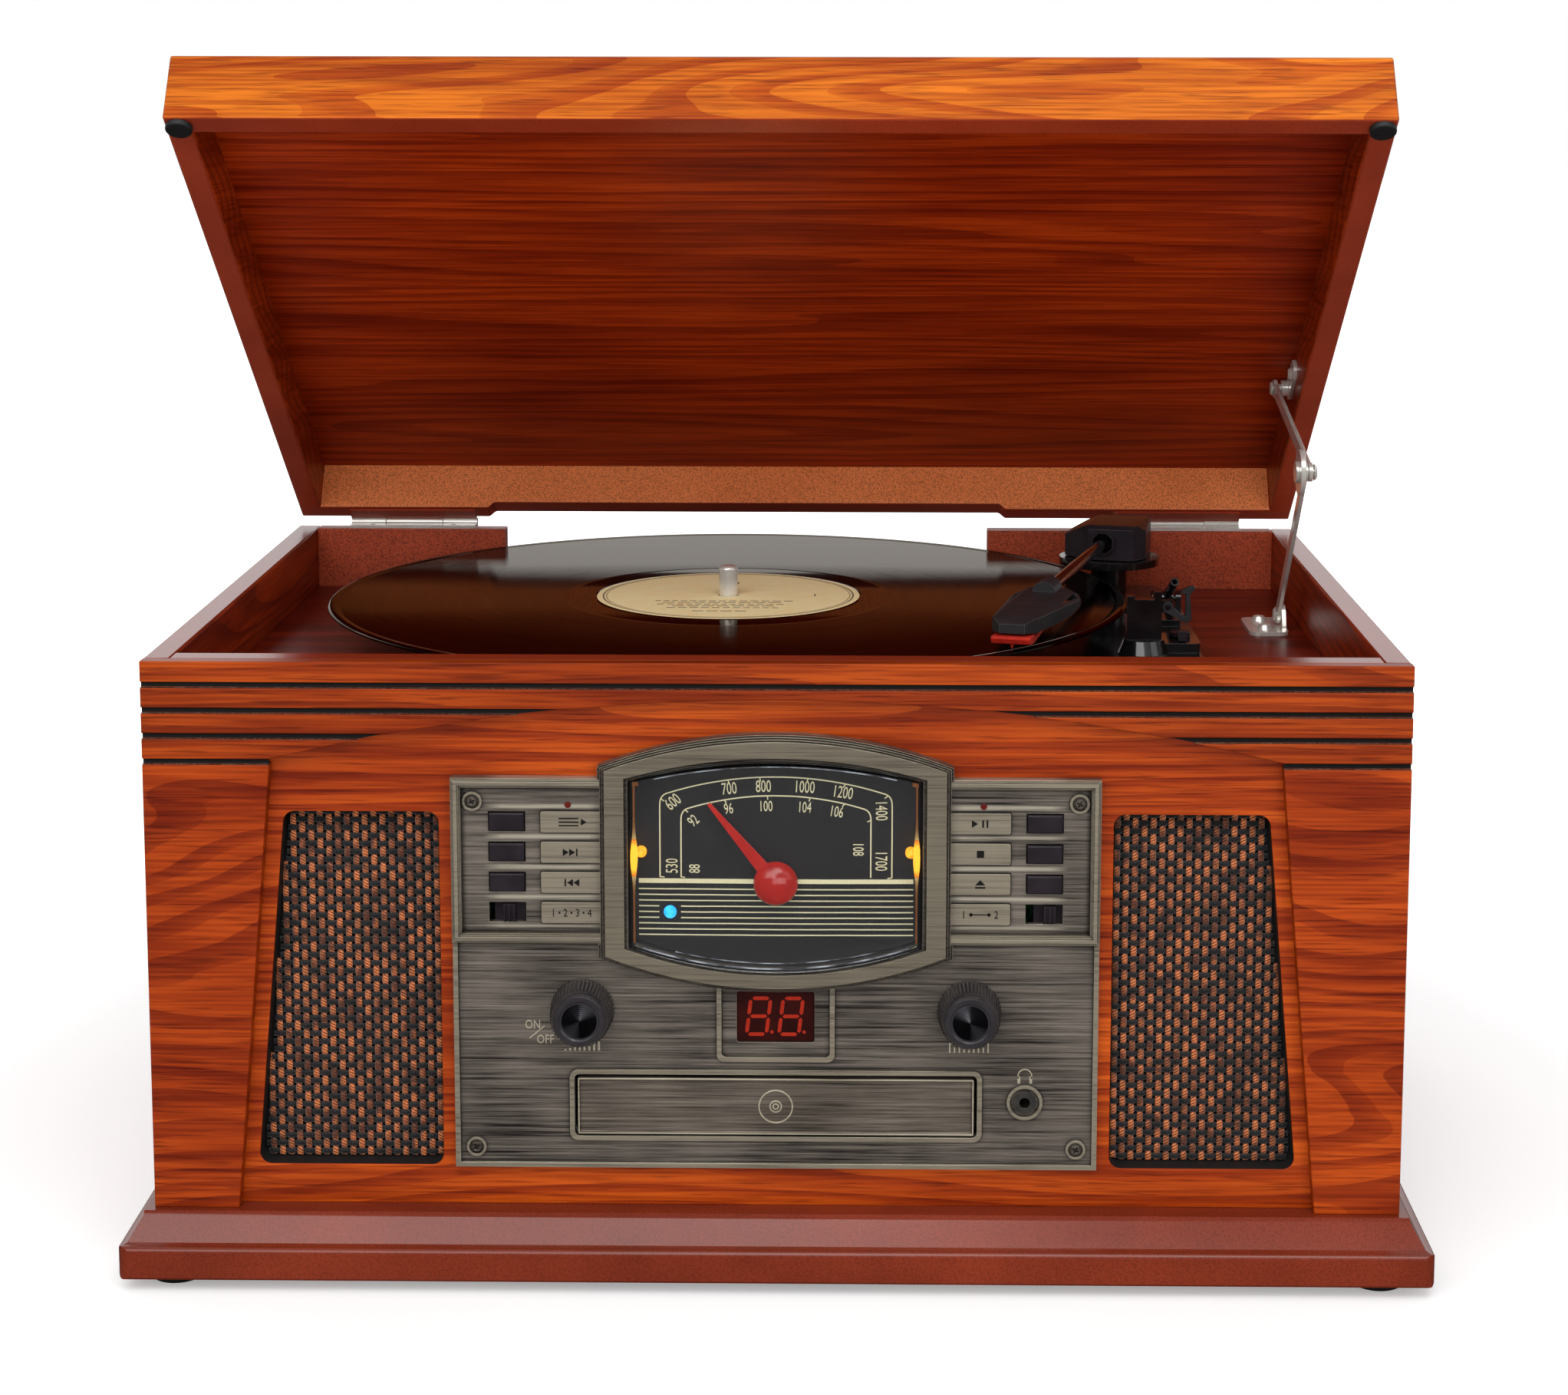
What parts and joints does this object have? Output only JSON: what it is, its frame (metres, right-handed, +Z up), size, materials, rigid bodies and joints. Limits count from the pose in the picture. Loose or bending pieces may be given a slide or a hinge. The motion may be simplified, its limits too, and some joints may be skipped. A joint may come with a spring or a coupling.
{
  "type": "stereo music centre",
  "caption": "Wooden tabletop music centre: record deck under a hinged lid, arched radio dial, disc tray, cloth-covered speakers and a cassette slot in its side",
  "frame": {"origin": "below the middle of the whole object, on the surface it stands on", "axes": "+X to the object's right seen from its front, +Y towards its back, +Z up; the lid stands open"},
  "size_m": [0.44, 0.329, 0.41],
  "materials": {
    "mahogany": "satin",
    "cherry": "satin",
    "raw_board": "matt",
    "black_plastic": "gloss",
    "matt_black": "matt",
    "rubber_black": "matt",
    "pewter": "brushed and antiqued like pewter",
    "clear": "polished",
    "lamp": "gloss",
    "red_plastic": "gloss",
    "display_red": "gloss",
    "circuit": "satin",
    "iron": "satin",
    "nickel": "polished",
    "zinc": "satin",
    "cast_alloy": "satin",
    "cloth": "woven",
    "vinyl": "gloss",
    "felt": "matt"
  },
  "bodies": {
    "cabinet": {"base_plinth": "mahogany", "feet": "rubber_black", "side_panels": "mahogany", "front_baffle": "cherry", "front_trim": "cherry", "back_board": "raw_board", "rear_cover": "matt_black", "case_screws": "nickel", "deck_board": "mahogany", "speaker_grilles": "cloth", "speakers": "iron", "control_panel": "pewter", "dial_bezel": "pewter", "dial_lens": "clear", "dial_face": "matt_black", "indicator_lamps": "lamp", "display_module": "display_red", "main_board": "circuit", "transformer": "iron", "jacks": "zinc", "disc_mechanism": "matt_black", "turntable_chassis": "black_plastic", "drive_motor": "zinc", "drive_belt": "rubber_black", "cabinet_hinge_leaves": "nickel", "stay_deck_bracket": "nickel", "tape_deck": "matt_black"},
    "lid": {"lid_frame": "mahogany", "lid_top": "mahogany", "lid_bumpers": "rubber_black", "lid_hinge_leaves": "nickel", "stay_lid_bracket": "nickel"},
    "stay_lower": {"stay_lower_arm": "nickel"},
    "stay_upper": {"stay_upper_arm": "nickel"},
    "turning_platter": {"platter": "cast_alloy", "slip_mat": "felt", "record": "vinyl", "spindle": "nickel"},
    "motor_pulley": {"motor_pulley": "cast_alloy"},
    "arm_housing": {"tonearm_turret": "black_plastic"},
    "tonearm": {"tonearm_tube": "black_plastic", "headshell": "matt_black", "cartridge": "red_plastic"},
    "cue_lever": {"cue_lever": "black_plastic"},
    "arm_clip": {"arm_clip": "matt_black"},
    "speed_lever": {"speed_lever": "matt_black"},
    "volume_knob": {"volume_knob": "black_plastic"},
    "tuning_knob": {"tuning_knob": "black_plastic"},
    "dial_pointer": {"dial_pointer": "red_plastic"},
    "button_program": {"button_program": "matt_black"},
    "button_next": {"button_next": "matt_black"},
    "button_previous": {"button_previous": "matt_black"},
    "button_play": {"button_play": "matt_black"},
    "button_stop": {"button_stop": "matt_black"},
    "button_eject": {"button_eject": "matt_black"},
    "function_switch": {"function_switch": "matt_black"},
    "band_switch": {"band_switch": "matt_black"},
    "disc_tray": {"disc_tray": "pewter"},
    "tape_flap": {"tape_flap": "matt_black"},
    "tape_key": {"tape_key": "nickel"}
  },
  "joints": [
    {"name": "lid_hinge", "type": "hinge", "parent": "cabinet", "child": "lid", "pos_m": [0, 0.1408, 0.2142], "axis": [1, 0, 0], "range_deg": [0, 35.5]},
    {"name": "stay_lower_pivot", "type": "hinge", "parent": "cabinet", "child": "stay_lower", "pos_m": [0.19, 0.0411, 0.1942], "axis": [1, 0, 0], "range_deg": [-1, 36.5]},
    {"name": "stay_middle_pivot", "type": "hinge", "parent": "stay_lower", "child": "stay_upper", "pos_m": [0.19, -0.02273, 0.25901], "axis": [1, 0, 0], "range_deg": [-36.5, 1]},
    {"name": "platter_turn", "type": "hinge", "parent": "cabinet", "child": "turning_platter", "pos_m": [-0.0225, 0.0135, 0.2061], "axis": [0, 0, 1], "continuous": true},
    {"name": "pulley_turn", "type": "hinge", "parent": "cabinet", "child": "motor_pulley", "pos_m": [-0.08885, 0.05996, 0.1961], "axis": [0, 0, 1], "continuous": true},
    {"name": "arm_swing", "type": "hinge", "parent": "cabinet", "child": "arm_housing", "pos_m": [0.129, 0.094, 0.216], "axis": [0, 0, 1], "range_deg": [-29, 16.3]},
    {"name": "arm_lift", "type": "hinge", "parent": "arm_housing", "child": "tonearm", "pos_m": [0.129, 0.094, 0.216], "axis": [-0.9673, 0.2536, 0], "range_deg": [0, 4.6]},
    {"name": "cue_lever_turn", "type": "hinge", "parent": "cabinet", "child": "cue_lever", "pos_m": [0.1475, 0.046, 0.1997], "axis": [-1, 0, 0], "range_deg": [0, 29]},
    {"name": "arm_clip_turn", "type": "hinge", "parent": "cabinet", "child": "arm_clip", "pos_m": [0.14111, -0.02371, 0.2088], "axis": [0.0281, -0.9996, 0], "range_deg": [0, 68]},
    {"name": "speed_lever_turn", "type": "hinge", "parent": "cabinet", "child": "speed_lever", "pos_m": [0.147, -0.012, 0.1965], "axis": [0, 0, 1], "range_deg": [0, 36]},
    {"name": "volume_turn", "type": "hinge", "parent": "cabinet", "child": "volume_knob", "pos_m": [-0.0645, -0.1505, 0.0947], "axis": [0, 1, 0], "range_deg": [-110, 190]},
    {"name": "tuning_turn", "type": "hinge", "parent": "cabinet", "child": "tuning_knob", "pos_m": [0.0645, -0.1505, 0.0947], "axis": [0, 1, 0], "range_deg": [-150, 387]},
    {"name": "pointer_turn", "type": "hinge", "parent": "cabinet", "child": "dial_pointer", "pos_m": [0, -0.1505, 0.1381], "axis": [0, 1, 0], "range_deg": [-50, 129]},
    {"name": "press_program", "type": "slide", "parent": "cabinet", "child": "button_program", "axis": [0, 1, 0], "range_m": [0, 0.0015], "stiffness_N_per_m": 400},
    {"name": "press_next", "type": "slide", "parent": "cabinet", "child": "button_next", "axis": [0, 1, 0], "range_m": [0, 0.0015], "stiffness_N_per_m": 400},
    {"name": "press_previous", "type": "slide", "parent": "cabinet", "child": "button_previous", "axis": [0, 1, 0], "range_m": [0, 0.0015], "stiffness_N_per_m": 400},
    {"name": "press_play", "type": "slide", "parent": "cabinet", "child": "button_play", "axis": [0, 1, 0], "range_m": [0, 0.0015], "stiffness_N_per_m": 400},
    {"name": "press_stop", "type": "slide", "parent": "cabinet", "child": "button_stop", "axis": [0, 1, 0], "range_m": [0, 0.0015], "stiffness_N_per_m": 400},
    {"name": "press_eject", "type": "slide", "parent": "cabinet", "child": "button_eject", "axis": [0, 1, 0], "range_m": [0, 0.0015], "stiffness_N_per_m": 400},
    {"name": "function_slide", "type": "slide", "parent": "cabinet", "child": "function_switch", "axis": [1, 0, 0], "range_m": [-0.0036, 0.0024]},
    {"name": "band_slide", "type": "slide", "parent": "cabinet", "child": "band_switch", "axis": [1, 0, 0], "range_m": [-0.0036, 0]},
    {"name": "tray_slide", "type": "slide", "parent": "cabinet", "child": "disc_tray", "axis": [0, -1, 0], "range_m": [0, 0.13]},
    {"name": "tape_flap_turn", "type": "hinge", "parent": "cabinet", "child": "tape_flap", "pos_m": [0.208, -0.0035, 0.1324], "axis": [0, 1, 0], "range_deg": [0, 84], "stiffness_Nm_per_rad": 0.002, "springref_deg": -17.19},
    {"name": "tape_key_press", "type": "slide", "parent": "cabinet", "child": "tape_key", "axis": [-1, 0, 0], "range_m": [0, 0.003], "stiffness_N_per_m": 600}
  ],
  "couplings": [
    {"joint": "stay_lower_pivot", "follows": "lid_hinge", "ratio": 1},
    {"joint": "stay_middle_pivot", "follows": "lid_hinge", "ratio": -1},
    {"joint": "pulley_turn", "follows": "platter_turn", "ratio": 9.6567},
    {"joint": "cue_lever_turn", "follows": "arm_lift", "ratio": 6.25},
    {"joint": "pointer_turn", "follows": "tuning_turn", "ratio": 0.33333}
  ]
}
